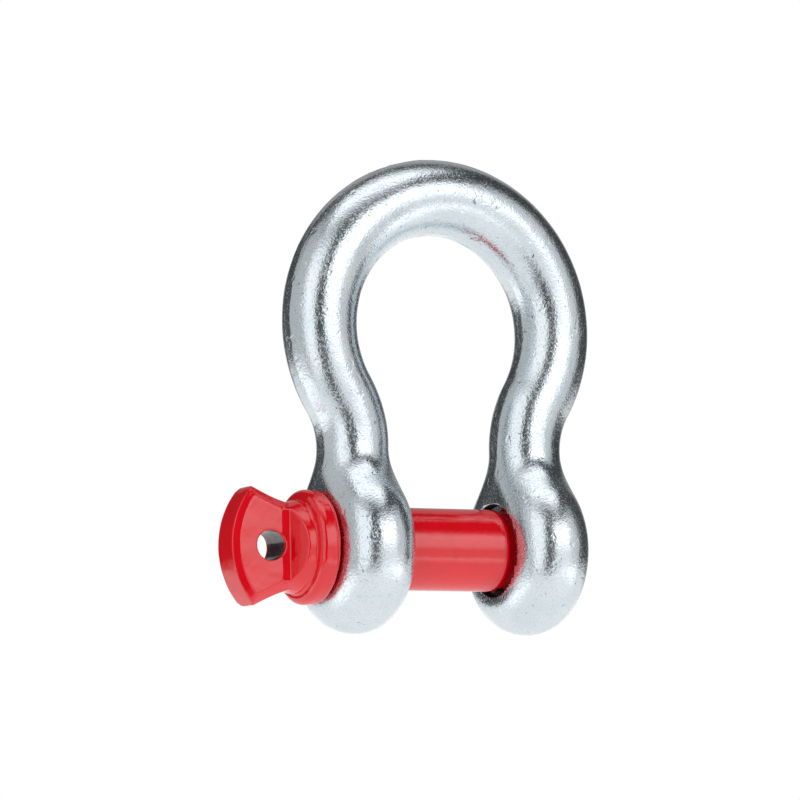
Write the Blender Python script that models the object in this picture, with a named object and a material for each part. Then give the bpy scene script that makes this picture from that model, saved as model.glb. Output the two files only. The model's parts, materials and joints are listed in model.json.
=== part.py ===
"""Bow shackle with a screw pin: one forged bow and one forged, threaded pin.

The frame: metres, +Z up.  The origin is on the pin's axis, midway between the ears.
+X runs along the pin from its head to its threaded tip, and the bow rises along +Z.
"""
import math

import bmesh
import bpy
from mathutils import Vector

MM = 0.001

# Driving dimensions, in millimetres.
PIN_DIAMETER = 22.4         # the load-bearing shank
JAW_WIDTH = 31.8            # clear width between the ears
EAR_THICKNESS = 21.4
EAR_DIAMETER = 46.0
LEG_DIAMETER = 19.4         # bar just above the ears
CROWN_DIAMETER = 20.8       # bar at the top of the bow
BOW_CENTRE_HEIGHT = 60.4    # centre of the big arc, above the pin's axis
BOW_RADIUS = 35.9           # centreline radius of the big arc
SHOULDER_RADIUS = 27.0      # centreline radius where the legs turn out into the big arc

# The ears.
EAR_RIM_RADIUS = 10.8       # the rim is almost a full round
NECK_BLEND = 6.5            # how far the leg flows into the ear
CLEARANCE_HOLE_RADIUS = 12.0
TAPPED_HOLE_RADIUS = 11.35
TAPPED_LEAD_IN_RADIUS = 12.8
HOLE_CHAMFER = 0.9

# The pin.
FIT_GAP = 0.3               # between the collar and the ear
COLLAR_RADIUS = 15.4
COLLAR_THICKNESS = 6.2
COLLAR_ROUNDING = 2.2
NECK_RADIUS = 12.2          # round neck behind the collar
NECK_TIP_RADIUS = 11.3
THREAD_RADIUS = 10.95
THREAD_START = 15.0         # where the full shank ends
TIP_PROUD = 1.5             # how far the tip stands out of the far ear
TIP_CHAMFER = 1.6
HEAD_THICKNESS = 10.6
HEAD_END = 65.0             # from the origin to the end of the head
HEAD_END_RADIUS = 23.3
HEAD_CORNER = 16.0          # half height of the head at its outer corners
HEAD_WAIST = 11.6           # half height where the head meets the neck
HEAD_WAIST_PLACE = 47.0
HEAD_FLARE = 1.35           # 1 is a straight edge from waist to corner, more is hollower
HEAD_BEVEL = 1.7
CREASE = 49.4               # where the flats of the head begin to slope out to the neck
SLOPE_END = 45.5            # where the slopes run out of the neck's side
EYE_HOLE_RADIUS = 4.05
EYE_HOLE_PLACE = 54.0

# How finely the round shapes are cut.
BAR_SIDES = 36
BAR_STEP = 4.2
LEG_STEP = 1.9
EAR_RINGS = 15
HALVINGS = 30
TURNED_SIDES = 56
BEAD_STEPS = 6
FLARE_STEPS = 7
END_STEPS = 16
EYE_HOLE_SIDES = 24
CUT_REACH = 1.0             # how far cutters stand out of what they cut

# Worked out from the sizes above.
EAR_PLACE = (JAW_WIDTH + EAR_THICKNESS) / 2
EAR_FACE = EAR_PLACE + EAR_THICKNESS / 2
EAR_RADIUS = EAR_DIAMETER / 2
SHOULDER_CENTRE_X = EAR_PLACE + SHOULDER_RADIUS
SHOULDER_DROP = math.sqrt((BOW_RADIUS + SHOULDER_RADIUS) ** 2 - SHOULDER_CENTRE_X ** 2)
LEG_TOP = BOW_CENTRE_HEIGHT - SHOULDER_DROP
SHOULDER_ANGLE = math.atan2(SHOULDER_DROP, SHOULDER_CENTRE_X)


def clear_scene():
    for thing in list(bpy.data.objects):
        bpy.data.objects.remove(thing, do_unlink=True)


def material(name, colour, roughness, metallic):
    """A Principled BSDF with one colour."""
    made = bpy.data.materials.new(name)
    made.use_nodes = True
    shader = made.node_tree.nodes["Principled BSDF"]
    shader.inputs["Base Color"].default_value = (*colour, 1.0)
    shader.inputs["Roughness"].default_value = roughness
    shader.inputs["Metallic"].default_value = metallic
    made.diffuse_color = (*colour, 1.0)
    return made


def mesh_object(name, bm):
    """Turns a bmesh in millimetres into a smooth-shaded object in metres."""
    bmesh.ops.scale(bm, vec=Vector((MM, MM, MM)), verts=bm.verts)
    bmesh.ops.recalc_face_normals(bm, faces=bm.faces)
    mesh = bpy.data.meshes.new(name)
    bm.to_mesh(mesh)
    bm.free()
    mesh.shade_smooth()
    mesh.set_sharp_from_angle(angle=math.radians(32))
    made = bpy.data.objects.new(name, mesh)
    bpy.context.scene.collection.objects.link(made)
    return made


def boolean(target, tool, operation):
    """Adds an exact Boolean that uses the tool object, and hides the tool."""
    tool.hide_render = True
    tool.display_type = "WIRE"
    modifier = target.modifiers.new(f"{operation.lower()} {tool.name}", "BOOLEAN")
    modifier.operation = operation
    modifier.solver = "EXACT"
    modifier.object = tool


def skin(bm, rings):
    """Bridges rings of points, closing both ends with a point's fan or a flat face."""
    loops = [[bm.verts.new(point) for point in ring] for ring in rings]
    for low, high in zip(loops, loops[1:]):
        if len(low) == 1 or len(high) == 1:
            tip, loop = (low[0], high) if len(low) == 1 else (high[0], low)
            for index, vert in enumerate(loop):
                bm.faces.new((tip, vert, loop[(index + 1) % len(loop)]))
        else:
            for index in range(len(low)):
                after = (index + 1) % len(low)
                bm.faces.new((low[index], low[after], high[after], high[index]))
    for loop in (loops[0], loops[-1]):
        if len(loop) > 2:
            bm.faces.new(loop)


def solid(name, rings):
    """A closed object from rings of points."""
    bm = bmesh.new()
    skin(bm, rings)
    return mesh_object(name, bm)


def full_turn(sides):
    """Evenly spaced angles round one turn."""
    return [2 * math.pi * side / sides for side in range(sides)]


def turned(name, profile):
    """A solid turned about the X axis from (x, radius) points, from one end to the other."""
    rings = []
    for x, radius in profile:
        turn = full_turn(TURNED_SIDES) if radius else [0.0]
        rings.append([(x, radius * math.cos(a), radius * math.sin(a)) for a in turn])
    return solid(name, rings)


def bar_radius(height):
    """The bar swells evenly from the legs to the crown."""
    top = BOW_CENTRE_HEIGHT + BOW_RADIUS
    share = min(max((height - LEG_TOP) / (top - LEG_TOP), 0), 1)
    return (LEG_DIAMETER + (CROWN_DIAMETER - LEG_DIAMETER) * share) / 2


def ear_and_leg(x, y, z):
    """Below zero inside the blend of a leg with its ear, x counted from the ear's middle."""
    past_flat = math.hypot(y, z) - (EAR_RADIUS - EAR_RIM_RADIUS)
    ear = math.hypot(x, max(past_flat, 0)) - EAR_RIM_RADIUS
    leg = math.sqrt(x * x + y * y + min(z, 0) ** 2) - LEG_DIAMETER / 2
    share = min(max(0.5 + 0.5 * (leg - ear) / NECK_BLEND, 0), 1)
    return leg + (ear - leg) * share - NECK_BLEND * share * (1 - share)


def ear_ring(side, height):
    """One level section of an ear or leg, found by halving along each ray."""
    ring = []
    for angle in full_turn(BAR_SIDES):
        inner, outer = 0.0, 2 * EAR_RADIUS
        for _ in range(HALVINGS):
            middle = (inner + outer) / 2
            if ear_and_leg(middle * math.cos(angle), middle * math.sin(angle), height) < 0:
                inner = middle
            else:
                outer = middle
        ring.append((side * (EAR_PLACE + inner * math.cos(angle)), inner * math.sin(angle), height))
    return ring


def bar_ring(side, centre, outward, radius):
    """A round section of the bar, in the plane of the outward direction and Y."""
    ring = []
    for angle in full_turn(BAR_SIDES):
        along = radius * math.cos(angle)
        x, z = centre[0] + along * outward[0], centre[1] + along * outward[1]
        ring.append((side * x, radius * math.sin(angle), z))
    return ring


def half_bow(side):
    """Rings from the bottom of one ear up to the crown."""
    rings = [[(side * EAR_PLACE, 0, -EAR_RADIUS)]]
    for index in range(1, EAR_RINGS):
        height = -EAR_RADIUS * math.cos(math.pi * index / (2 * EAR_RINGS))
        rings.append(ear_ring(side, height))
    steps = round(LEG_TOP / LEG_STEP)
    for index in range(steps):
        rings.append(ear_ring(side, LEG_TOP * index / steps))
    steps = round(SHOULDER_RADIUS * SHOULDER_ANGLE / BAR_STEP)
    for index in range(steps):
        angle = SHOULDER_ANGLE * index / steps
        x = SHOULDER_CENTRE_X - SHOULDER_RADIUS * math.cos(angle)
        z = LEG_TOP + SHOULDER_RADIUS * math.sin(angle)
        rings.append(bar_ring(side, (x, z), (math.cos(angle), -math.sin(angle)), bar_radius(z)))
    sweep = SHOULDER_ANGLE + math.pi / 2
    steps = round(BOW_RADIUS * sweep / BAR_STEP)
    for index in range(steps):
        angle = -SHOULDER_ANGLE + sweep * index / steps
        outward = (math.cos(angle), math.sin(angle))
        x, z = BOW_RADIUS * outward[0], BOW_CENTRE_HEIGHT + BOW_RADIUS * outward[1]
        rings.append(bar_ring(side, (x, z), outward, bar_radius(z)))
    return rings


def trim_block(name, low_x, high_x):
    """A block across both sides of the pin, as high as the legs."""
    deep = 1.5 * EAR_RADIUS
    corners = [(low_x, -deep), (high_x, -deep), (high_x, deep), (low_x, deep)]
    return solid(name, [[(x, y, z) for x, y in corners] for z in (-deep, LEG_TOP)])


def flatten_ears(bow):
    """Trims both sides of each ear flat, square to the pin."""
    jaw = JAW_WIDTH / 2
    outside = EAR_FACE + EAR_THICKNESS
    boolean(bow, trim_block("jaw trim", -jaw, jaw), "DIFFERENCE")
    boolean(bow, trim_block("head side trim", -outside, -EAR_FACE), "DIFFERENCE")
    boolean(bow, trim_block("thread side trim", EAR_FACE, outside), "DIFFERENCE")


def make_clearance_hole():
    """The plain hole on the head side, chamfered at both ends."""
    jaw = JAW_WIDTH / 2
    wide = CLEARANCE_HOLE_RADIUS + HOLE_CHAMFER + CUT_REACH
    return turned("clearance hole", [
        (-EAR_FACE - CUT_REACH, 0),
        (-EAR_FACE - CUT_REACH, wide),
        (-EAR_FACE + HOLE_CHAMFER, CLEARANCE_HOLE_RADIUS),
        (-jaw - HOLE_CHAMFER, CLEARANCE_HOLE_RADIUS),
        (-jaw + CUT_REACH, wide),
        (-jaw + CUT_REACH, 0)])


def make_tapped_hole():
    """The hole that takes the thread, with a wide lead-in on the jaw side."""
    jaw = JAW_WIDTH / 2
    lead_in = TAPPED_LEAD_IN_RADIUS - TAPPED_HOLE_RADIUS
    return turned("tapped hole", [
        (jaw - CUT_REACH, 0),
        (jaw - CUT_REACH, TAPPED_LEAD_IN_RADIUS + CUT_REACH),
        (jaw + lead_in, TAPPED_HOLE_RADIUS),
        (EAR_FACE - HOLE_CHAMFER, TAPPED_HOLE_RADIUS),
        (EAR_FACE + CUT_REACH, TAPPED_HOLE_RADIUS + HOLE_CHAMFER + CUT_REACH),
        (EAR_FACE + CUT_REACH, 0)])


def make_bow():
    """The forging: two ears, two legs and the big arc, as one closed skin with two holes."""
    right, left = half_bow(1), half_bow(-1)
    crown = bar_ring(1, (0, BOW_CENTRE_HEIGHT + BOW_RADIUS), (0, 1), CROWN_DIAMETER / 2)
    bow = solid("bow", right + [crown] + left[::-1])
    flatten_ears(bow)
    boolean(bow, make_clearance_hole(), "DIFFERENCE")
    boolean(bow, make_tapped_hole(), "DIFFERENCE")
    bow.data.materials.append(material("galvanised steel", (0.56, 0.60, 0.63), 0.36, 0.9))


def collar_profile():
    """The collar's rounded rim, as (x, radius) points from its ear face to its back."""
    face = -EAR_FACE - FIT_GAP
    back = face - COLLAR_THICKNESS
    inner = COLLAR_RADIUS - COLLAR_ROUNDING
    quarter = [math.pi / 2 * index / BEAD_STEPS for index in range(BEAD_STEPS + 1)]
    front_round = [(face - COLLAR_ROUNDING * (1 - math.cos(a)), inner + COLLAR_ROUNDING * math.sin(a))
                   for a in quarter]
    back_round = [(back + COLLAR_ROUNDING * (1 - math.sin(a)), inner + COLLAR_ROUNDING * math.cos(a))
                  for a in quarter]
    return front_round + back_round


def make_turned_pin():
    """The round part of the pin, from the tip to the neck under the head."""
    tip = EAR_FACE + TIP_PROUD
    shank = PIN_DIAMETER / 2
    back = -EAR_FACE - FIT_GAP - COLLAR_THICKNESS
    profile = [
        (tip, 0),
        (tip, THREAD_RADIUS - TIP_CHAMFER),
        (tip - TIP_CHAMFER, THREAD_RADIUS),
        (THREAD_START + shank - THREAD_RADIUS, THREAD_RADIUS),
        (THREAD_START, shank),
        (-EAR_FACE - FIT_GAP, shank)]
    profile += collar_profile()
    profile += [(back, NECK_RADIUS), (-CREASE, NECK_TIP_RADIUS), (-CREASE, 0)]
    return turned("screw_pin", profile)


def neck_slope(side):
    """A wedge that slopes one side of the neck down to the flat of the head."""
    flat = HEAD_THICKNESS / 2
    rise = (NECK_RADIUS - flat) / (CREASE - SLOPE_END)
    reach = 3 * CUT_REACH
    top = NECK_RADIUS + rise * reach
    corners = [(-CREASE - reach, flat), (-CREASE, flat), (-SLOPE_END + reach, top), (-CREASE - reach, top)]
    rings = [[(x, side * y, z) for x, y in corners] for z in (-COLLAR_RADIUS, COLLAR_RADIUS)]
    return solid(f"neck slope {side}", rings)


def head_outline():
    """The head seen from its flat side: waist, hollow edge, corner and round end."""
    arc_centre = -HEAD_END + HEAD_END_RADIUS
    half_turn = math.asin(HEAD_CORNER / HEAD_END_RADIUS)
    corner_x = arc_centre - HEAD_END_RADIUS * math.cos(half_turn)
    root_x = -EAR_FACE - FIT_GAP - COLLAR_THICKNESS / 2
    upper = [(root_x, HEAD_WAIST)]
    for index in range(FLARE_STEPS):
        share = index / FLARE_STEPS
        x = -HEAD_WAIST_PLACE + (corner_x + HEAD_WAIST_PLACE) * share
        upper.append((x, HEAD_WAIST + (HEAD_CORNER - HEAD_WAIST) * share ** HEAD_FLARE))
    end = []
    for index in range(END_STEPS + 1):
        angle = half_turn * (1 - 2 * index / END_STEPS)
        end.append((arc_centre - HEAD_END_RADIUS * math.cos(angle), HEAD_END_RADIUS * math.sin(angle)))
    lower = [(x, -z) for x, z in reversed(upper)]
    return upper + end + lower


def inset(outline, width):
    """Moves each point of a closed outline inward by the width."""
    centre = sum((Vector(point) for point in outline), Vector((0, 0))) / len(outline)
    moved = []
    for index, point in enumerate(outline):
        here = Vector(point)
        before = (here - Vector(outline[index - 1])).normalized()
        after = (Vector(outline[(index + 1) % len(outline)]) - here).normalized()
        normal = Vector((-(before + after).y, (before + after).x)).normalized()
        if normal.dot(centre - here) < 0:
            normal = -normal
        square_to_edge = abs(normal.dot(Vector((-before.y, before.x))))
        moved.append(tuple(here + normal * width / max(square_to_edge, 0.5)))
    return moved


def make_head_blade():
    """The flat fan-shaped head, bevelled all round."""
    outline = head_outline()
    small = inset(outline, HEAD_BEVEL)
    half = HEAD_THICKNESS / 2
    layers = ((small, -half), (outline, HEAD_BEVEL - half), (outline, half - HEAD_BEVEL), (small, half))
    return solid("head blade", [[(x, depth, z) for x, z in shape] for shape, depth in layers])


def make_eye_hole():
    """The cross hole in the head, for a spike or a locking wire."""
    circle = [(-EYE_HOLE_PLACE + EYE_HOLE_RADIUS * math.cos(a), EYE_HOLE_RADIUS * math.sin(a))
              for a in full_turn(EYE_HOLE_SIDES)]
    return solid("eye hole", [[(x, y, z) for x, z in circle] for y in (-HEAD_THICKNESS, HEAD_THICKNESS)])


def make_pin():
    """The screw pin: head, neck, collar, shank and threaded tip in one forging."""
    pin = make_turned_pin()
    for side in (-1, 1):
        boolean(pin, neck_slope(side), "DIFFERENCE")
    boolean(pin, make_head_blade(), "UNION")
    boolean(pin, make_eye_hole(), "DIFFERENCE")
    pin.data.materials.append(material("red paint", (0.62, 0.012, 0.02), 0.28, 0.0))


clear_scene()
make_bow()
make_pin()
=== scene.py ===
"""Looks of a bow shackle: a galvanised forged bow with a red painted screw pin.

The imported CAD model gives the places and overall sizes.  Both nodes are replaced by detailed meshes that
are built here from formulas, in millimetres, and then turned into metres.
"""
import json
import math

import bmesh
import bpy
import numpy as np
from mathutils import Matrix, Vector


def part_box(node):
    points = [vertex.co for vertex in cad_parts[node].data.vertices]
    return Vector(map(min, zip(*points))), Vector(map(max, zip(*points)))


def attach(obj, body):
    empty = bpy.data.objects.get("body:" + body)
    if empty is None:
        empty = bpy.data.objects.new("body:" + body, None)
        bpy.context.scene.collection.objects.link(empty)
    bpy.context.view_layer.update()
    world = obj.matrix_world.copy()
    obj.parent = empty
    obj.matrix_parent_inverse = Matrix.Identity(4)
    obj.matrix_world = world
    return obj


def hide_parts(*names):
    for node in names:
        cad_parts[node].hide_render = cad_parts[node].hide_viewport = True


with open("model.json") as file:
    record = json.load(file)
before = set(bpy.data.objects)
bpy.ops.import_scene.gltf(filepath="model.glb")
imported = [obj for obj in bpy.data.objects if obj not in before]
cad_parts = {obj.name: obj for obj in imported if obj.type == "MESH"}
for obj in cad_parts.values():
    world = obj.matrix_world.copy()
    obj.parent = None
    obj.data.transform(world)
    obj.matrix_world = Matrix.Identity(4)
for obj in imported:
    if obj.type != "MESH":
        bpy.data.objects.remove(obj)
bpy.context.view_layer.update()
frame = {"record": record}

MM = 0.001

# ---------------------------------------------------------------- sizes read from the frame

bow_high = np.array(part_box("bow")[1]) / MM
pin_low, pin_high = [np.array(corner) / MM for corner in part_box("screw_pin")]
mounts = {mount["name"]: np.array(mount["pos_m"]) / MM for mount in frame["record"]["mounts"]}

EAR_RADIUS = bow_high[1]
JAW_HALF = mounts["jaw_face_thread_side"][0]
HEAD_HALF = mounts["head_flat_back"][1]
HEAD_END = pin_low[0]
TIP_END = pin_high[0]
COLLAR_RADIUS = pin_high[1]
HEAD_CORNER = pin_high[2]

# ---------------------------------------------------------------- the bow's own sizes, in millimetres

EAR_THICKNESS = 21.4
LEG_RADIUS = 9.7
CROWN_RADIUS = 10.4
SHOULDER_RADIUS = 27.0
BOW_RADIUS = 35.9
EAR_RIM_RADIUS = 10.8
NECK_BLEND = 6.5             # how widely the leg and the ear run into each other
TRIM_SOFTNESS = 0.5          # how softly the trimmed flats meet the rounded ears

FLASH_HALF_WIDTH = 1.7
FLASH_WIDTH_CHANGE = 0.1     # as a share of the half width
FLASH_WIDTH_CHANGE_LENGTH = 12.0
FLASH_WANDER = 0.3
FLASH_WANDER_LENGTH = 30.0
FLASH_TEAR = 0.03
FLASH_TEAR_LENGTH = 1.8
FLASH_LIP = 0.09             # height of the ridge at each side of the trimmed band
FLASH_LIP_WIDTH = 0.35
FLASH_LIP_LENGTH = 7.0       # how far apart the stretches with a ridge are
FLASH_RUN_OUT = 4.0          # the band fades away over this height, just below the tops of the ears
FLASH_IN_PLANE = 0.9         # the band is only where the surface faces along the bow's own plane

BOW_WAVE_HEIGHT = 0.03
BOW_WAVE_LENGTH = 16.0
BOW_RIPPLE_HEIGHT = 0.008
BOW_RIPPLE_LENGTH = 5.0

CLEARANCE_HOLE_RADIUS = 12.0
CLEARANCE_HOLE_LIP = 0.9
LEAD_IN_RADIUS = 12.8        # of the wide recess at the jaw side of the tapped hole
LEAD_IN_DEPTH = 2.6
LEAD_IN_TAPER = 0.08
LEAD_IN_END_SLOPE = 1.5
LEAD_OUT_DEPTH = 0.9
LEAD_OUT_SLOPE = 1.1
TAPPED_ROOT = 11.3
TAPPED_CREST = 9.85
CUT_OVERSHOOT = 1.0          # how far each cutter sticks out of the ear

# ---------------------------------------------------------------- the pin's own sizes, in millimetres

PIN_RADIUS = 11.2
FIT_GAP = 0.3
COLLAR_THICKNESS = 6.2
COLLAR_ROUNDING = 2.2
COLLAR_FILLET = 0.8
NECK_RADIUS = 12.2
NECK_TIP_RADIUS = 11.3
NECK_SHARE_LOW = -0.5        # the neck's cone runs on past both ends of the slope,
NECK_SHARE_HIGH = 1.3        # by these shares of the slope's length
NECK_SOFTNESS = 0.35
NECK_END = 3.0               # the neck runs into the collar, and stops this far before the ear
CREASE = -49.4
SLOPE_END = -46.3
CREASE_SOFTNESS = 0.4
CREASE_FACET = 1.7           # a narrow facet leads from each flat into the steep slope
FACET_ANGLE = math.radians(27)   # of the end bevel and the crease's facet, off the head's flat
FACET_SOFTNESS = 0.1

HEAD_END_RADIUS = 23.3
HEAD_WAIST = 11.6
WAIST_PLACE = -47.0
FAN_CURVE = 1.35             # over 1, the head's edges are hollow and flare towards the corners
FAN_LIMIT = 1.6
FAN_SLANT = 0.93             # cosine of the edges' mean slant
BLADE_OVERLAP = 5.0          # how far the blade runs on into the neck
END_BEVEL = 2.0
EDGE_BEVEL = 2.3
EDGE_BEVEL_SLANT = 0.707     # cosine of 45 degrees
CORNER_SOFTNESS = 0.7
RIM_SOFTNESS = 0.25
END_BEVEL_SOFTNESS = 0.15
EDGE_BEVEL_SOFTNESS = 0.45
EYE_HOLE_PLACE = -54.0
EYE_HOLE_RADIUS = 4.05
EYE_HOLE_LIP = 0.3

HEAD_WAVE_HEIGHT = 0.02
HEAD_WAVE_LENGTH = 7.0
HEAD_RIPPLE_HEIGHT = 0.006
HEAD_RIPPLE_LENGTH = 2.6

THREAD_START = 15.0
UNDERCUT_END = 19.0          # behind the full shank the pin is turned down before the thread starts
UNDERCUT_RADIUS = 10.3
SHOULDER_SLOPE = 0.8
TIP_CHAMFER = 1.6
THREAD_CREST = 10.95
THREAD_ROOT = 9.45
THREAD_PITCH = 2.82
THREAD_STEEPNESS = 1.35      # a triangle wave this steep, cut off flat at its root and its crest
THREAD_ROOT_FLAT = 0.17

# ---------------------------------------------------------------- places worked out from the sizes

EAR_PLACE = JAW_HALF + EAR_THICKNESS / 2
EAR_FACE = JAW_HALF + EAR_THICKNESS
BOW_CENTRE = bow_high[2] - CROWN_RADIUS - BOW_RADIUS
SHOULDER_X = EAR_PLACE + SHOULDER_RADIUS
SHOULDER_DROP = math.sqrt((BOW_RADIUS + SHOULDER_RADIUS) ** 2 - SHOULDER_X ** 2)
SHOULDER_ANGLE = math.atan2(SHOULDER_DROP, SHOULDER_X)
LEG_TOP = BOW_CENTRE - SHOULDER_DROP

# ---------------------------------------------------------------- how fine the meshes are

BOW_SIDES = 128
BOW_STEP = 0.85
TURNED_SIDES = 128
SHANK_RINGS = 60
PIN_THREAD_STEP = 0.17
TIP_ROOM = 0.01              # lets the last ring fall on the very end of the tip
TAPPED_THREAD_STEP = 0.18
GRID_STEP = 0.26
GRID_MARGIN = 0.5
NEWTON_STEPS = 8
LEAST_SQUARED_SLOPE = 0.05   # so that no step divides by nearly nothing
CELL_REACH = 0.95            # how far a vertex may leave its cell's middle, in cells
BISECTIONS = 36


# ---------------------------------------------------------------- mesh tools

def smooth_min(a, b, width):
    """The smaller of two fields, rounded over where they are nearly equal."""
    share = np.clip(0.5 + 0.5 * (b - a) / width, 0, 1)
    return b + (a - b) * share - width * share * (1 - share)


def smooth_max(a, b, width):
    return -smooth_min(-a, -b, width)


def ripple(points, wavelength, seed, waves=14):
    """A smooth, repeatable unevenness of about -1 to 1, as a sum of waves in random directions."""
    random = np.random.default_rng(seed)
    total = np.zeros(points.shape[:-1])
    for _ in range(waves):
        direction = random.normal(size=3)
        direction /= np.linalg.norm(direction)
        length = wavelength * random.uniform(0.7, 1.5)
        total += np.sin(points @ direction * (2 * math.pi / length) + random.uniform(0, 2 * math.pi))
    return total / math.sqrt(waves)


def new_object(name, vertices, faces):
    """A smooth-shaded mesh object in metres, from points in millimetres."""
    mesh = bpy.data.meshes.new(name)
    mesh.from_pydata((np.asarray(vertices) * MM).tolist(), [], faces)
    mesh.validate()
    mesh.shade_smooth()
    made = bpy.data.objects.new(name, mesh)
    bpy.context.scene.collection.objects.link(made)
    return made


def ring_faces(rings, sides):
    """Quads between neighbouring rings of points, each ring closed on itself."""
    ring, side = np.meshgrid(np.arange(rings - 1), np.arange(sides), indexing="ij")
    after = (side + 1) % sides
    quads = np.stack([ring * sides + side, ring * sides + after,
                      (ring + 1) * sides + after, (ring + 1) * sides + side], -1)
    return quads.reshape(-1, 4).tolist()


def closed_tube(name, rings):
    """A solid from an array of rings, with a point in the middle of each end."""
    rings = np.asarray(rings, float)
    count, sides = rings.shape[:2]
    points = np.concatenate([rings.reshape(-1, 3), [rings[0].mean(0)], [rings[-1].mean(0)]])
    faces = ring_faces(count, sides)
    first, last = count * sides, count * sides + 1
    for side in range(sides):
        after = (side + 1) % sides
        faces.append([first, after, side])
        faces.append([last, (count - 1) * sides + side, (count - 1) * sides + after])
    return new_object(name, points, faces)


def face_outward(thing):
    """Turns the faces outward, whichever way they were made."""
    bm = bmesh.new()
    bm.from_mesh(thing.data)
    bmesh.ops.recalc_face_normals(bm, faces=bm.faces)
    bm.to_mesh(thing.data)
    bm.free()


def boolean(target, tool, operation):
    """Applies one exact Boolean and removes the tool."""
    modifier = target.modifiers.new("cut", "BOOLEAN")
    modifier.operation = operation
    modifier.solver = "EXACT"
    modifier.object = tool
    graph = bpy.context.evaluated_depsgraph_get()
    mesh = bpy.data.meshes.new_from_object(target.evaluated_get(graph))
    target.modifiers.clear()
    target.data = mesh
    bpy.data.objects.remove(tool)


def surface_of(field, low, high, step):
    """Quads on the zero surface of a field, one vertex in each grid cell that it crosses."""
    axes = [np.arange(a - 1.5 * step, b + 1.5 * step, step) for a, b in zip(low, high)]
    grid = np.stack(np.meshgrid(*axes, indexing="ij"), -1)
    inside = field(grid) < 0
    shape = [size - 1 for size in inside.shape]
    count = np.zeros(shape, int)
    for dx in (0, 1):
        for dy in (0, 1):
            for dz in (0, 1):
                count += inside[dx:dx + shape[0], dy:dy + shape[1], dz:dz + shape[2]]
    crossed = (count > 0) & (count < 8)
    number = np.full(shape, -1)
    number[crossed] = np.arange(crossed.sum())
    cells = np.argwhere(crossed)
    start = np.stack([axes[k][cells[:, k]] + step / 2 for k in range(3)], -1)
    points = start.copy()
    for _ in range(NEWTON_STEPS):
        value = field(points)
        slope = gradient(field, points)
        points -= slope * (value / np.maximum((slope ** 2).sum(-1), LEAST_SQUARED_SLOPE))[:, None]
        points = np.clip(points, start - CELL_REACH * step, start + CELL_REACH * step)
    faces = []
    for axis in range(3):
        first, second = [k for k in range(3) if k != axis]
        low_end = inside.take(range(inside.shape[axis] - 1), axis)
        high_end = inside.take(range(1, inside.shape[axis]), axis)
        for edge in np.argwhere(low_end != high_end):
            around = []
            for da, db in ((-1, -1), (0, -1), (0, 0), (-1, 0)):
                cell = edge.copy()
                cell[first] += da
                cell[second] += db
                around.append(int(number[tuple(cell)]))
            outward = bool(low_end[tuple(edge)]) != (axis == 1)
            faces.append(around if outward else around[::-1])
    return points, faces


def gradient(field, points, reach=0.02):
    """The field's slope, by central differences."""
    slope = np.empty_like(points)
    for axis in range(3):
        offset = np.zeros(3)
        offset[axis] = reach
        slope[..., axis] = (field(points + offset) - field(points - offset)) / (2 * reach)
    return slope


# ---------------------------------------------------------------- the bow

def bar_radius(height):
    """The bar grows evenly from the legs to the crown."""
    share = np.clip((height - LEG_TOP) / (BOW_CENTRE + BOW_RADIUS - LEG_TOP), 0, 1)
    return LEG_RADIUS + (CROWN_RADIUS - LEG_RADIUS) * share


def ear_and_leg(x, y, z):
    """Below zero inside an ear and its leg, with x counted from the ear's middle."""
    past_flat = np.hypot(y, z) - (EAR_RADIUS - EAR_RIM_RADIUS)
    ear = np.hypot(x, np.maximum(past_flat, 0)) - EAR_RIM_RADIUS
    leg = np.sqrt(x * x + y * y + np.minimum(z, 0) ** 2) - LEG_RADIUS
    return smooth_max(smooth_min(ear, leg, NECK_BLEND), np.abs(x) - EAR_THICKNESS / 2, TRIM_SOFTNESS)


def reach_along(direction_x, direction_y, height):
    """How far each ray from the leg's middle runs before it leaves the forging."""
    inner = np.zeros(np.broadcast(direction_x, height).shape)
    outer = inner + 2 * EAR_RADIUS
    for _ in range(BISECTIONS):
        middle = (inner + outer) / 2
        within = ear_and_leg(middle * direction_x, middle * direction_y, height) < 0
        inner = np.where(within, middle, inner)
        outer = np.where(within, outer, middle)
    return inner


def ear_rings(heights):
    """Level sections of an ear and leg.  Points crowd towards the rim where the section is long."""
    height = heights[:, None]
    wide = reach_along(0.0, 1.0, height)
    thick = reach_along(1.0, 0.0, height)
    turn = np.linspace(0, 2 * math.pi, BOW_SIDES, endpoint=False)[None, :]
    x, y = np.cos(turn) * thick, np.sin(turn) * wide
    length = np.hypot(x, y)
    reach = reach_along(x / length, y / length, height)
    return np.stack([EAR_PLACE + reach * x / length, reach * y / length, height + 0 * x], -1)


def bar_rings(centres_x, centres_z, outward_x, outward_z):
    """Round sections of the bar, square to its centreline."""
    turn = np.linspace(0, 2 * math.pi, BOW_SIDES, endpoint=False)[None, :]
    radius = bar_radius(centres_z)[:, None]
    along = radius * np.cos(turn)
    x = centres_x[:, None] + along * outward_x[:, None]
    z = centres_z[:, None] + along * outward_z[:, None]
    return np.stack([x, radius * np.sin(turn), z], -1)


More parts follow.
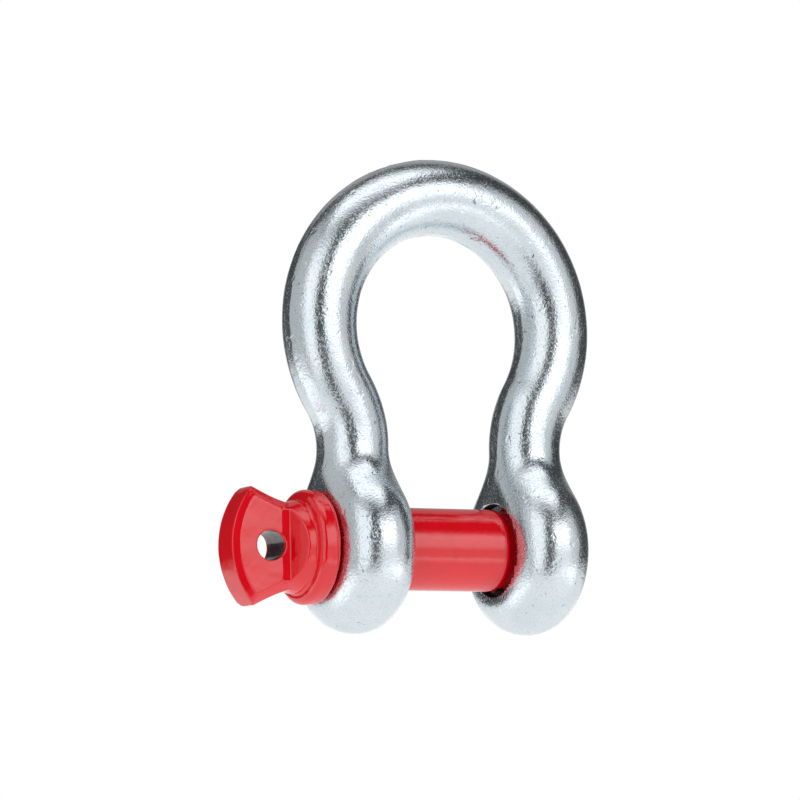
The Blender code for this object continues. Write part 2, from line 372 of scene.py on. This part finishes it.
def half_bow_rings():
    """Rings from the bottom of the threaded ear up to just before the crown."""
    cap_steps = round(EAR_RADIUS * math.pi / 2 / BOW_STEP)
    cap = -EAR_RADIUS * np.cos(np.linspace(0, math.pi / 2, cap_steps + 1)[1:-1])
    leg = np.linspace(0, LEG_TOP, round(LEG_TOP / BOW_STEP), endpoint=False)
    ears = ear_rings(np.concatenate([cap, leg]))
    turn = np.linspace(0, SHOULDER_ANGLE, round(SHOULDER_RADIUS * SHOULDER_ANGLE / BOW_STEP), endpoint=False)
    shoulder = bar_rings(SHOULDER_X - SHOULDER_RADIUS * np.cos(turn),
                         LEG_TOP + SHOULDER_RADIUS * np.sin(turn), np.cos(turn), -np.sin(turn))
    sweep = BOW_RADIUS * (SHOULDER_ANGLE + math.pi / 2)
    turn = np.linspace(-SHOULDER_ANGLE, math.pi / 2, round(sweep / BOW_STEP), endpoint=False)
    arc = bar_rings(BOW_RADIUS * np.cos(turn), BOW_CENTRE + BOW_RADIUS * np.sin(turn),
                    np.cos(turn), np.sin(turn))
    return np.concatenate([ears, shoulder, arc])


def turned_angles():
    return np.linspace(0, 2 * math.pi, TURNED_SIDES, endpoint=False)


def turned_ring(x, radius):
    """A ring about the X axis.  The radius is one number, or one for each angle."""
    turn = turned_angles()
    return np.stack([0 * turn + x, radius * np.cos(turn), radius * np.sin(turn)], -1)


def thread_radius(x, root, crest):
    """The thread's radius at a place along the axis, for each angle about it."""
    phase = (x / THREAD_PITCH - turned_angles() / (2 * math.pi)) % 1.0
    wave = 1 - np.abs(2 * phase - 1)
    return root + (crest - root) * np.clip(THREAD_STEEPNESS * wave - THREAD_ROOT_FLAT, 0, 1)


def bore_profile(low, high, radius, lip, curve=5):
    """A plain bore's cutter, with rounded lips that open out at both faces."""
    points = [(low - CUT_OVERSHOOT, radius + lip + CUT_OVERSHOOT)]
    for step in range(curve + 1):
        angle = math.pi / 2 * step / curve
        points.append((low + lip * (1 - math.cos(angle)), radius + lip * (1 - math.sin(angle))))
    for step in range(curve + 1):
        angle = math.pi / 2 * step / curve
        points.append((high - lip * (1 - math.sin(angle)), radius + lip * (1 - math.cos(angle))))
    return points + [(high + CUT_OVERSHOOT, radius + lip + CUT_OVERSHOOT)]


def tapped_cutter():
    """The tapped hole's cutter: a wide lead-in at the jaw, the thread, and a chamfer at the outer face."""
    rings = []
    for x in np.arange(JAW_HALF - CUT_OVERSHOOT, EAR_FACE + CUT_OVERSHOOT, TAPPED_THREAD_STEP):
        depth = x - JAW_HALF
        lead_in = LEAD_IN_RADIUS - LEAD_IN_TAPER * depth - LEAD_IN_END_SLOPE * max(depth - LEAD_IN_DEPTH, 0)
        lead_out = TAPPED_ROOT + LEAD_OUT_DEPTH + LEAD_OUT_SLOPE * (x - EAR_FACE)
        radius = thread_radius(x, TAPPED_CREST, TAPPED_ROOT)
        rings.append(turned_ring(x, np.maximum(radius, max(lead_in, lead_out))))
    return closed_tube("tapped cutter", rings)


def clearance_cutter():
    """The plain hole's cutter, for the ear at the pin's head."""
    profile = bore_profile(-EAR_FACE, -JAW_HALF, CLEARANCE_HOLE_RADIUS, CLEARANCE_HOLE_LIP)
    return closed_tube("clearance cutter", [turned_ring(x, radius) for x, radius in profile])


def make_bow():
    """One skin from ear to ear, roughened and then bored."""
    right = half_bow_rings()
    left = right * np.array([-1, 1, 1])
    crown = bar_rings(np.array([0.0]), np.array([BOW_CENTRE + BOW_RADIUS]), np.array([0.0]), np.array([1.0]))
    forging = closed_tube("bow_forging", np.concatenate([right, crown, left[::-1]]))
    face_outward(forging)
    roughen(forging)
    for cutter in (clearance_cutter(), tapped_cutter()):
        face_outward(cutter)
        boolean(forging, cutter, "DIFFERENCE")
    return forging


def trimmed_flash(points, normals):
    """The narrow sheared band that trimming leaves along the inside and outside of the bar."""
    wander = FLASH_WANDER * ripple(points, FLASH_WANDER_LENGTH, seed=9)
    widening = FLASH_WIDTH_CHANGE * ripple(points, FLASH_WIDTH_CHANGE_LENGTH, seed=8)
    half_width = FLASH_HALF_WIDTH * (1 + widening)
    side = np.abs(points[:, 1] - wander)
    sheared = -np.clip(half_width ** 2 - side ** 2, 0, None) / (2 * bar_radius(points[:, 2]))
    torn = FLASH_TEAR * ripple(points, FLASH_TEAR_LENGTH, seed=12) * (side < half_width)
    lip = FLASH_LIP * np.exp(-((side - half_width) / FLASH_LIP_WIDTH) ** 2)
    lip *= np.clip(0.5 + ripple(points, FLASH_LIP_LENGTH, seed=13), 0, 1)
    in_plane = np.hypot(normals[:, 0], normals[:, 2]) > FLASH_IN_PLANE
    above_ears = np.clip((points[:, 2] - EAR_RADIUS + FLASH_RUN_OUT) / FLASH_RUN_OUT, 0, 1)
    return (sheared + torn + lip) * in_plane * above_ears


def vertex_values(mesh, name):
    values = np.empty(len(mesh.vertices) * 3)
    mesh.vertices.foreach_get(name, values)
    return values.reshape(-1, 3)


def roughen(forging):
    """The uneven skin of a forging: long soft waves, and the trimmed flash line."""
    mesh = forging.data
    points = vertex_values(mesh, "co") / MM
    normals = vertex_values(mesh, "normal")
    height = BOW_WAVE_HEIGHT * ripple(points, BOW_WAVE_LENGTH, seed=3)
    height += BOW_RIPPLE_HEIGHT * ripple(points, BOW_RIPPLE_LENGTH, seed=4)
    height += trimmed_flash(points, normals)
    points += normals * height[:, None]
    mesh.vertices.foreach_set("co", (points * MM).ravel())
    mesh.update()


# ---------------------------------------------------------------- the pin

def head_edge(x):
    """Half height of the head at x: waisted at the neck and widest at its outer corners."""
    half_turn = math.asin(HEAD_CORNER / HEAD_END_RADIUS)
    corner = HEAD_END + HEAD_END_RADIUS * (1 - math.cos(half_turn))
    share = np.clip((x - WAIST_PLACE) / (corner - WAIST_PLACE), 0, FAN_LIMIT)
    return HEAD_WAIST + (HEAD_CORNER - HEAD_WAIST) * share ** FAN_CURVE


def blade_field(x, y, z):
    """Below zero inside the flat fan-shaped blade, with y and z made positive."""
    end = np.hypot(x - HEAD_END - HEAD_END_RADIUS, z) - HEAD_END_RADIUS
    edge = (z - head_edge(x)) * FAN_SLANT
    side = y - HEAD_HALF
    blade = smooth_max(smooth_max(end, edge, CORNER_SOFTNESS), side, RIM_SOFTNESS)
    end_bevel = side * math.cos(FACET_ANGLE) + (end + END_BEVEL) * math.sin(FACET_ANGLE)
    blade = smooth_max(blade, end_bevel, END_BEVEL_SOFTNESS)
    blade = smooth_max(blade, (edge + side + EDGE_BEVEL) * EDGE_BEVEL_SLANT, EDGE_BEVEL_SOFTNESS)
    return np.maximum(blade, x - WAIST_PLACE - BLADE_OVERLAP)


def neck_field(x, y, rho):
    """Below zero inside the round neck, cut by a narrow facet and a steep slope on each side."""
    length = SLOPE_END - CREASE
    share = np.clip((x - CREASE) / length, NECK_SHARE_LOW, NECK_SHARE_HIGH)
    cone = rho - (NECK_TIP_RADIUS + (NECK_RADIUS - NECK_TIP_RADIUS) * share)
    steep = (NECK_RADIUS - HEAD_HALF) / length
    slope = (y - HEAD_HALF - steep * (x - CREASE)) / math.hypot(1, steep)
    facet = (y - HEAD_HALF) * math.cos(FACET_ANGLE) - (x - CREASE + CREASE_FACET) * math.sin(FACET_ANGLE)
    neck = smooth_max(cone, smooth_min(slope, facet, FACET_SOFTNESS), NECK_SOFTNESS)
    return np.maximum(neck, x + EAR_FACE + NECK_END)


def collar_field(x, rho):
    """Below zero inside the collar, a disc with a rounded rim."""
    middle = -EAR_FACE - FIT_GAP - COLLAR_THICKNESS / 2
    across = np.abs(x - middle) - (COLLAR_THICKNESS / 2 - COLLAR_ROUNDING)
    out = rho - (COLLAR_RADIUS - COLLAR_ROUNDING)
    beyond = np.hypot(np.maximum(across, 0), np.maximum(out, 0))
    return beyond + np.minimum(np.maximum(across, out), 0) - COLLAR_ROUNDING


def head_field(points):
    """Below zero inside the blade, neck and collar."""
    x, y, z = points[..., 0], np.abs(points[..., 1]), np.abs(points[..., 2])
    rho = np.hypot(y, z)
    whole = smooth_min(neck_field(x, y, rho), collar_field(x, rho), COLLAR_FILLET)
    whole = smooth_min(whole, blade_field(x, y, z), CREASE_SOFTNESS)
    hole = EYE_HOLE_RADIUS - np.hypot(x - EYE_HOLE_PLACE, z)
    whole = smooth_max(whole, hole, EYE_HOLE_LIP)
    whole = whole + HEAD_WAVE_HEIGHT * ripple(points, HEAD_WAVE_LENGTH, seed=21, waves=8)
    return whole + HEAD_RIPPLE_HEIGHT * ripple(points, HEAD_RIPPLE_LENGTH, seed=22, waves=8)


def make_head():
    low = np.array((HEAD_END, -COLLAR_RADIUS, -HEAD_CORNER)) - GRID_MARGIN
    high = np.array((-EAR_FACE, COLLAR_RADIUS, HEAD_CORNER)) + GRID_MARGIN
    points, faces = surface_of(head_field, low, high, GRID_STEP)
    return new_object("pin_head", points, faces)


def make_shank():
    """The plain shank and the threaded tip, from inside the collar."""
    start = -EAR_FACE - FIT_GAP - COLLAR_THICKNESS / 2
    plain = np.linspace(start, THREAD_START, SHANK_RINGS, endpoint=False)
    rings = [turned_ring(x, PIN_RADIUS) for x in plain]
    for x in np.arange(THREAD_START, TIP_END + TIP_ROOM, PIN_THREAD_STEP):
        shoulder = PIN_RADIUS - SHOULDER_SLOPE * (x - THREAD_START)
        tip = THREAD_CREST - TIP_CHAMFER + (TIP_END - x)
        radius = thread_radius(x, THREAD_ROOT, THREAD_CREST)
        if x < UNDERCUT_END:
            radius = 0 * radius + UNDERCUT_RADIUS
        rings.append(turned_ring(x, np.minimum(np.maximum(radius, shoulder), tip)))
    return closed_tube("pin_shank", rings)


def make_pin():
    head, shank = make_head(), make_shank()
    face_outward(head)
    face_outward(shank)
    boolean(head, shank, "UNION")
    head.name = "screw_pin_forging"
    return head


# ---------------------------------------------------------------- node tools

def node(tree, kind, **settings):
    made = tree.nodes.new(kind)
    for name, value in settings.items():
        setattr(made, name, value)
    return made


def new_material(name):
    """A material with its node tree, its Principled shader and the place on the object."""
    made = bpy.data.materials.new(name)
    made.use_nodes = True
    tree = made.node_tree
    return made, tree, tree.nodes["Principled BSDF"], node(tree, "ShaderNodeTexCoord").outputs["Object"]


def noise(tree, place, scale, detail=3.0, roughness=0.5):
    """Noise over the object, with the scale in waves per metre."""
    made = node(tree, "ShaderNodeTexNoise")
    made.inputs["Scale"].default_value = scale
    made.inputs["Detail"].default_value = detail
    made.inputs["Roughness"].default_value = roughness
    tree.links.new(place, made.inputs["Vector"])
    return made.outputs["Fac"]


def ramp(tree, value, stops):
    """A colour ramp from (position, colour) stops."""
    made = node(tree, "ShaderNodeValToRGB")
    elements = made.color_ramp.elements
    while len(elements) < len(stops):
        elements.new(0.5)
    for element, (position, colour) in zip(elements, stops):
        element.position = position
        element.color = (*colour, 1.0)
    tree.links.new(value, made.inputs["Fac"])
    return made.outputs["Color"]


def span(tree, value, low, high, to_low, to_high, curve="LINEAR"):
    """Maps a value's range onto another range, and clamps it."""
    made = node(tree, "ShaderNodeMapRange", interpolation_type=curve)
    for index, number in enumerate((low, high, to_low, to_high)):
        made.inputs[index + 1].default_value = number
    tree.links.new(value, made.inputs["Value"])
    return made.outputs["Result"]


def fade(tree, value, low, high, to_low, to_high):
    """Like span, but easing in and out."""
    return span(tree, value, low, high, to_low, to_high, "SMOOTHSTEP")


def maths(tree, operation, first, second=None):
    """One Math node on sockets or plain numbers."""
    made = node(tree, "ShaderNodeMath", operation=operation)
    for index, value in enumerate((first, second)):
        if isinstance(value, (int, float)):
            made.inputs[index].default_value = value
        elif value is not None:
            tree.links.new(value, made.inputs[index])
    return made.outputs[0]


def along(tree, direction, axis):
    """How much of a direction lies along an axis."""
    made = node(tree, "ShaderNodeVectorMath", operation="DOT_PRODUCT")
    made.inputs[1].default_value = axis
    tree.links.new(direction, made.inputs[0])
    return made.outputs["Value"]


def components(tree, place):
    """The X, Y and Z sockets of a place."""
    parts = node(tree, "ShaderNodeSeparateXYZ")
    tree.links.new(place, parts.inputs[0])
    return parts.outputs


def distance_from_axis(tree, first, second):
    """The distance from an axis, from the two coordinates square to it."""
    squares = [maths(tree, "MULTIPLY", value, value) for value in (first, second)]
    return maths(tree, "SQRT", maths(tree, "ADD", *squares))


def mixed(tree, share, first, second, blend="MIX"):
    """A blend of two colours."""
    made = node(tree, "ShaderNodeMix", data_type="RGBA", blend_type=blend)
    if isinstance(share, float):
        made.inputs["Factor"].default_value = share
    else:
        tree.links.new(share, made.inputs["Factor"])
    tree.links.new(first, made.inputs[6])
    tree.links.new(second, made.inputs[7])
    return made.outputs[2]


def bump(tree, height, distance, normal=None):
    """Bends the normal as if the surface rose by the distance, in metres, where the height is one."""
    made = node(tree, "ShaderNodeBump")
    made.inputs["Distance"].default_value = distance
    tree.links.new(height, made.inputs["Height"])
    if normal:
        tree.links.new(normal, made.inputs["Normal"])
    return made.outputs["Normal"]


# ---------------------------------------------------------------- materials

# Colours are linear.  Noise scales are in waves per metre, and heights are in metres.
ZINC_DULL = (0.71, 0.79, 0.835)
ZINC_BRIGHT = (0.82, 0.885, 0.92)
ZINC_PIT = (0.86, 0.87, 0.88)
ZINC_SPECK = (0.42, 0.43, 0.45)
# Painted shade for the walls of the holes for the pin: near black, with a little random tone
HOLE_WALL_SHADE_DARK = (0.05, 0.05, 0.055)
HOLE_WALL_SHADE_PALE = (0.16, 0.16, 0.17)
WHITE = (1, 1, 1)

ZINC_CLOUD_SCALE = 90.0
ZINC_DENT_SCALE = 230.0
ZINC_SKIN_SCALE = 420.0
ZINC_SPECK_SCALE = 620.0
ZINC_CRYSTAL_SCALE = 1500.0
ZINC_GRAIN_SCALE = 1700.0
ZINC_PIT_SCALE = 1900.0

ZINC_SKIN_HEIGHT = 0.00005
ZINC_DENT_DEPTH = 0.00008
ZINC_GRAIN_HEIGHT = 0.000062
ZINC_SMOOTHEST = 0.18
ZINC_ROUGHEST = 0.26
ZINC_CRYSTAL_FROST = 0.16    # added roughness on the frosted crystals

PAINT_DARK = (0.82, 0.0008, 0.009)
PAINT_LIGHT = (0.91, 0.002, 0.014)
# Painted shade, dark and reddish, for the wall of the cross hole in the head
EYE_HOLE_SHADE_DARK = (0.07, 0.025, 0.035)
EYE_HOLE_SHADE_PALE = (0.18, 0.10, 0.12)

PAINT_CLOUD_SCALE = 160.0
PAINT_WAVE_SCALE = 260.0
PAINT_PEEL_SCALE = 750.0
EYE_HOLE_SHADE_SCALE = 900.0

PAINT_WAVE_HEIGHT = 0.00004
PAINT_PEEL_HEIGHT = 0.00003
PAINT_SMOOTHEST = 0.3
PAINT_ROUGHEST = 0.4
COAT_ROUGHNESS = 0.065
COAT_IOR = 1.75

# Painted shade darkens the holes' walls.  They are masked by their distance from the hole's axis and from
# the faces around it, in millimetres.  Each mask fades out over a short way.
PIN_HOLE_MASK = 12.7
PIN_HOLE_MASK_FADE = 0.3
PIN_HOLE_MASK_START = 0.1
PIN_HOLE_DEPTH_FADE = 0.4
EYE_HOLE_MASK = EYE_HOLE_RADIUS + 0.1
EYE_HOLE_MASK_FADE = 0.3
EYE_HOLE_MASK_START = 0.2
EYE_HOLE_DEPTH_FADE = 0.3


def hole_wall_shade_mask(tree, place):
    """One on the walls of the holes for the pin, where shade is painted, and zero on the galvanised faces.
    """
    x, y, z = components(tree, place)
    near = fade(tree, distance_from_axis(tree, y, z),
                PIN_HOLE_MASK * MM, (PIN_HOLE_MASK + PIN_HOLE_MASK_FADE) * MM, 1, 0)
    depth = maths(tree, "ABSOLUTE", x)
    jaw_side = JAW_HALF + PIN_HOLE_MASK_START
    face_side = EAR_FACE - PIN_HOLE_MASK_START
    past_jaw = fade(tree, depth, jaw_side * MM, (jaw_side + PIN_HOLE_DEPTH_FADE) * MM, 0, 1)
    before_face = fade(tree, depth, (face_side - PIN_HOLE_DEPTH_FADE) * MM, face_side * MM, 1, 0)
    return maths(tree, "MULTIPLY", near, maths(tree, "MULTIPLY", past_jaw, before_face))


def eye_hole_shade_mask(tree, place):
    """One on the cross hole's wall, where shade is painted, and zero on the red faces around it."""
    x, y, z = components(tree, place)
    distance = distance_from_axis(tree, maths(tree, "SUBTRACT", x, EYE_HOLE_PLACE * MM), z)
    near = fade(tree, distance, EYE_HOLE_MASK * MM, (EYE_HOLE_MASK + EYE_HOLE_MASK_FADE) * MM, 1, 0)
    flat = HEAD_HALF - EYE_HOLE_MASK_START
    within = fade(tree, maths(tree, "ABSOLUTE", y), (flat - EYE_HOLE_DEPTH_FADE) * MM, flat * MM, 1, 0)
    return maths(tree, "MULTIPLY", near, within)


def zinc_colour(tree, place, cloud):
    """Cloudy zinc with faint pits and a few dark specks, and painted shade on the walls of the holes."""
    colour = ramp(tree, cloud, [(0.3, ZINC_DULL), (0.7, ZINC_BRIGHT)])
    pits = noise(tree, place, ZINC_PIT_SCALE, 1.0)
    specks = noise(tree, place, ZINC_SPECK_SCALE, 2.0, 0.6)
    for marks in (ramp(tree, pits, [(0.30, ZINC_PIT), (0.44, WHITE)]),
                  ramp(tree, specks, [(0.26, ZINC_SPECK), (0.31, WHITE)])):
        colour = mixed(tree, 1.0, colour, marks, "MULTIPLY")
    # painted shade on the holes' walls, in place of the zinc
    wall = ramp(tree, pits, [(0.35, HOLE_WALL_SHADE_DARK), (0.65, HOLE_WALL_SHADE_PALE)])
    return mixed(tree, hole_wall_shade_mask(tree, place), colour, wall)


def zinc_roughness(tree, place, cloud):
    """Satin zinc with small frosted crystals."""
    smooth = span(tree, cloud, 0.3, 0.7, ZINC_SMOOTHEST, ZINC_ROUGHEST)
    crystals = noise(tree, place, ZINC_CRYSTAL_SCALE, 1.0)
    return maths(tree, "ADD", smooth, span(tree, crystals, 0.52, 0.66, 0.0, ZINC_CRYSTAL_FROST))


def zinc_normal(tree, place):
    """A soft skin, sparse dents and a fine grain."""
    skin = noise(tree, place, ZINC_SKIN_SCALE)
    dents = span(tree, noise(tree, place, ZINC_DENT_SCALE, 2.0, 0.6), 0.28, 0.38, 0.0, 1.0)
    grain = noise(tree, place, ZINC_GRAIN_SCALE, 1.0)
    normal = bump(tree, skin, ZINC_SKIN_HEIGHT)
    normal = bump(tree, dents, ZINC_DENT_DEPTH, normal)
    return bump(tree, grain, ZINC_GRAIN_HEIGHT, normal)


def galvanised_material():
    made, tree, shader, place = new_material("galvanised steel")
    cloud = noise(tree, place, ZINC_CLOUD_SCALE, 4.0, 0.6)
    shader.inputs["Metallic"].default_value = 1.0
    tree.links.new(zinc_colour(tree, place, cloud), shader.inputs["Base Color"])
    tree.links.new(zinc_roughness(tree, place, cloud), shader.inputs["Roughness"])
    tree.links.new(zinc_normal(tree, place), shader.inputs["Normal"])
    return made


def red_paint_material():
    """Gloss paint, with painted shade, dark and reddish, on the cross hole's wall."""
    made, tree, shader, place = new_material("red paint")
    shader.inputs["Coat Weight"].default_value = 1.0
    shader.inputs["Coat Roughness"].default_value = COAT_ROUGHNESS
    shader.inputs["Coat IOR"].default_value = COAT_IOR
    shader.inputs["Specular IOR Level"].default_value = 0.0
    cloud = noise(tree, place, PAINT_CLOUD_SCALE)
    colour = ramp(tree, cloud, [(0.3, PAINT_DARK), (0.7, PAINT_LIGHT)])
    # the cross hole's wall gets painted shade in place of the red
    eye_hole_shade = ramp(tree, noise(tree, place, EYE_HOLE_SHADE_SCALE), [(0.35, EYE_HOLE_SHADE_DARK), (0.65, EYE_HOLE_SHADE_PALE)])
    tree.links.new(mixed(tree, eye_hole_shade_mask(tree, place), colour, eye_hole_shade), shader.inputs["Base Color"])
    tree.links.new(span(tree, cloud, 0.3, 0.7, PAINT_SMOOTHEST, PAINT_ROUGHEST), shader.inputs["Roughness"])
    waves = bump(tree, noise(tree, place, PAINT_WAVE_SCALE, 1.0), PAINT_WAVE_HEIGHT)
    normal = bump(tree, noise(tree, place, PAINT_PEEL_SCALE, 2.0), PAINT_PEEL_HEIGHT, waves)
    tree.links.new(normal, shader.inputs["Normal"])
    tree.links.new(normal, shader.inputs["Coat Normal"])
    return made


# ---------------------------------------------------------------- stage

# The camera, in millimetres and degrees: a long lens a little below the pin, left of the bow's front.
CAMERA_AZIMUTH = -28.2
CAMERA_ELEVATION = -6.0
CAMERA_ROLL = -1.1
CAMERA_DISTANCE = 1197.0
CAMERA_ACROSS = -11.15
CAMERA_UP = 40.63
LENS = 198.8

# The floor, in metres.  It is clear beyond a distance from the pin, so that its edge isn't seen.
FLOOR_DROP = 0.13
FLOOR_SIDE = 6.0
FLOOR_CLEAR_START = 0.2 * FLOOR_SIDE
FLOOR_CLEAR_END = 0.48 * FLOOR_SIDE
FLOOR_SHADE = (0.86, 0.865, 0.87)
FLOOR_LIGHT = (0.90, 0.90, 0.90)
FLOOR_SCALE = 6.0
FLOOR_ROUGHNESS = 0.8
FLOOR_GLOW = 0.55


def heading(azimuth, elevation):
    """The direction from the shackle at an azimuth and elevation in degrees, with 0, 0 along -Y."""
    azimuth, elevation = math.radians(azimuth), math.radians(elevation)
    return Vector((math.sin(azimuth) * math.cos(elevation),
                   -math.cos(azimuth) * math.cos(elevation), math.sin(elevation)))


def make_camera():
    back = heading(CAMERA_AZIMUTH, CAMERA_ELEVATION)
    turn = back.to_track_quat("Z", "Y") @ Matrix.Rotation(math.radians(CAMERA_ROLL), 4, "Z").to_quaternion()
    across, up = turn @ Vector((1, 0, 0)), turn @ Vector((0, 1, 0))
    data = bpy.data.cameras.new("camera")
    data.lens = LENS
    camera = bpy.data.objects.new("camera", data)
    camera.location = (back * CAMERA_DISTANCE + across * CAMERA_ACROSS + up * CAMERA_UP) * MM
    camera.rotation_euler = turn.to_euler()
    bpy.context.scene.collection.objects.link(camera)
    bpy.context.scene.camera = camera


# The studio, seen from the shackle: soft rectangular lights far away.  Each has its azimuth from the
# camera's (right is positive), its elevation, its half width and half height in degrees, the softness of
# its sides, the softness of its top and bottom (both as tangents), and its brightness.
STUDIO_LIGHTS = {
    "overhead panel": (10, 84, 28, 18, 0.06, 0.06, 0.85),
    "overhead spill": (4, 72, 27, 19, 0.08, 0.08, 0.48),
    "key box": (40, 18.5, 23, 17.5, 0.06, 0.16, 1.60),
    "key box foot": (40, -15.5, 24, 15, 0.06, 0.16, 0.78),
    "key box edge": (80, 4, 18, 36, 0.10, 0.20, 0.60),
    "fill box": (-30, 11, 19, 35, 0.08, 0.14, 1.10),
    "fill box edge": (-80, 11, 30, 45, 0.10, 0.20, 0.47),
    "backdrop": (180, 22, 24, 34, 0.08, 0.10, 0.34),
}
ROOM_BRIGHTNESS = 0.05
TABLE_BRIGHTNESS = 0.90
TABLE_DEPTH = 0.28           # how far below the horizon the table's edge is seen, at its sides
TABLE_TILT = 0.23            # nearer the camera the edge is seen lower, and behind the shackle higher
TABLE_SOFTNESS = 0.08
OVERHEAD = 60                # above this elevation a light is squared up with the camera, not the horizon
LEAST_FACING = 0.001         # keeps the division safe at right angles to a light


def studio_direction(azimuth, elevation):
    return heading(azimuth + CAMERA_AZIMUTH, elevation)


def studio_light(tree, direction, azimuth, elevation, half_width, half_height, side_softness,
                 top_softness, brightness):
    """A soft rectangle's brightness in one direction."""
    toward = studio_direction(azimuth, elevation)
    beyond = -studio_direction(0, 0)
    upright = beyond if elevation > OVERHEAD else Vector((0, 0, 1))
    across = upright.cross(toward).normalized()
    upward = toward.cross(across)
    ahead = along(tree, direction, toward)
    facing = maths(tree, "MAXIMUM", ahead, LEAST_FACING)
    shape = maths(tree, "MULTIPLY", maths(tree, "GREATER_THAN", ahead, 0.0), brightness)
    for axis, half_angle, softness in ((across, half_width, side_softness),
                                       (upward, half_height, top_softness)):
        offset = maths(tree, "DIVIDE", maths(tree, "ABSOLUTE", along(tree, direction, axis)), facing)
        edge = math.tan(math.radians(half_angle))
        shape = maths(tree, "MULTIPLY", shape, fade(tree, offset, edge - softness, edge + softness, 1, 0))
    return shape


def floor_material():
    """A pale matt floor that lights itself a little, and is clear far away and from below."""
    made, tree, shader, place = new_material("pale floor")
    shade = ramp(tree, noise(tree, place, FLOOR_SCALE), [(0.3, FLOOR_SHADE), (0.7, FLOOR_LIGHT)])
    tree.links.new(shade, shader.inputs["Base Color"])
    tree.links.new(shade, shader.inputs["Emission Color"])
    shader.inputs["Emission Strength"].default_value = FLOOR_GLOW
    shader.inputs["Roughness"].default_value = FLOOR_ROUGHNESS
    x, y, _ = components(tree, place)
    far = fade(tree, distance_from_axis(tree, x, y), FLOOR_CLEAR_START, FLOOR_CLEAR_END, 0, 1)
    under = node(tree, "ShaderNodeNewGeometry").outputs["Backfacing"]
    clear = node(tree, "ShaderNodeBsdfTransparent")
    mix = node(tree, "ShaderNodeMixShader")
    tree.links.new(maths(tree, "MAXIMUM", far, under), mix.inputs[0])
    tree.links.new(shader.outputs[0], mix.inputs[1])
    tree.links.new(clear.outputs[0], mix.inputs[2])
    tree.links.new(mix.outputs[0], tree.nodes["Material Output"].inputs["Surface"])
    return made


def make_floor():
    """A plain floor well below the shackle.  It is only there to be seen: the light that the shackle
    reflects from below comes from the studio's own table."""
    side = FLOOR_SIDE / 2
    corners = [(-side, -side, 0), (side, -side, 0), (side, side, 0), (-side, side, 0)]
    mesh = bpy.data.meshes.new("floor")
    mesh.from_pydata(corners, [], [(0, 1, 2, 3)])
    mesh.materials.append(floor_material())
    floor = bpy.data.objects.new("floor", mesh)
    floor.location.z = -FLOOR_DROP
    bpy.context.scene.collection.objects.link(floor)
    floor.visible_glossy = False
    floor.visible_diffuse = False
    floor.visible_transmission = False
    floor.visible_shadow = False


def make_world():
    """The studio as the shackle sees it, and plain white as the camera sees it."""
    world = bpy.data.worlds.new("studio")
    world.use_nodes = True
    tree = world.node_tree
    tree.nodes.clear()
    direction = node(tree, "ShaderNodeTexCoord").outputs["Generated"]
    lean = Vector((0, 0, 1)) + TABLE_TILT * studio_direction(0, 0)
    total = fade(tree, along(tree, direction, lean), -TABLE_DEPTH - TABLE_SOFTNESS,
                 -TABLE_DEPTH + TABLE_SOFTNESS, TABLE_BRIGHTNESS, ROOM_BRIGHTNESS)
    for settings in STUDIO_LIGHTS.values():
        total = maths(tree, "ADD", total, studio_light(tree, direction, *settings))
    light, seen = node(tree, "ShaderNodeBackground"), node(tree, "ShaderNodeBackground")
    light.inputs["Color"].default_value = (*WHITE, 1)
    seen.inputs["Color"].default_value = (*WHITE, 1)
    tree.links.new(total, light.inputs["Strength"])
    mix = node(tree, "ShaderNodeMixShader")
    tree.links.new(node(tree, "ShaderNodeLightPath").outputs["Is Camera Ray"], mix.inputs[0])
    tree.links.new(light.outputs[0], mix.inputs[1])
    tree.links.new(seen.outputs[0], mix.inputs[2])
    tree.links.new(mix.outputs[0], node(tree, "ShaderNodeOutputWorld").inputs[0])
    bpy.context.scene.world = world
    bpy.context.scene.view_settings.view_transform = "Standard"


def give_material(thing, material):
    """Gives an object this one material, and takes away any other slot."""
    thing.data.materials.clear()
    thing.data.materials.append(material)


# ---------------------------------------------------------------- the shackle and its studio

bow = make_bow()
give_material(bow, galvanised_material())
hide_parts("bow")
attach(bow, "bow")

pin = make_pin()
give_material(pin, red_paint_material())
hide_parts("screw_pin")
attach(pin, "screw_pin")

make_camera()
make_floor()
make_world()
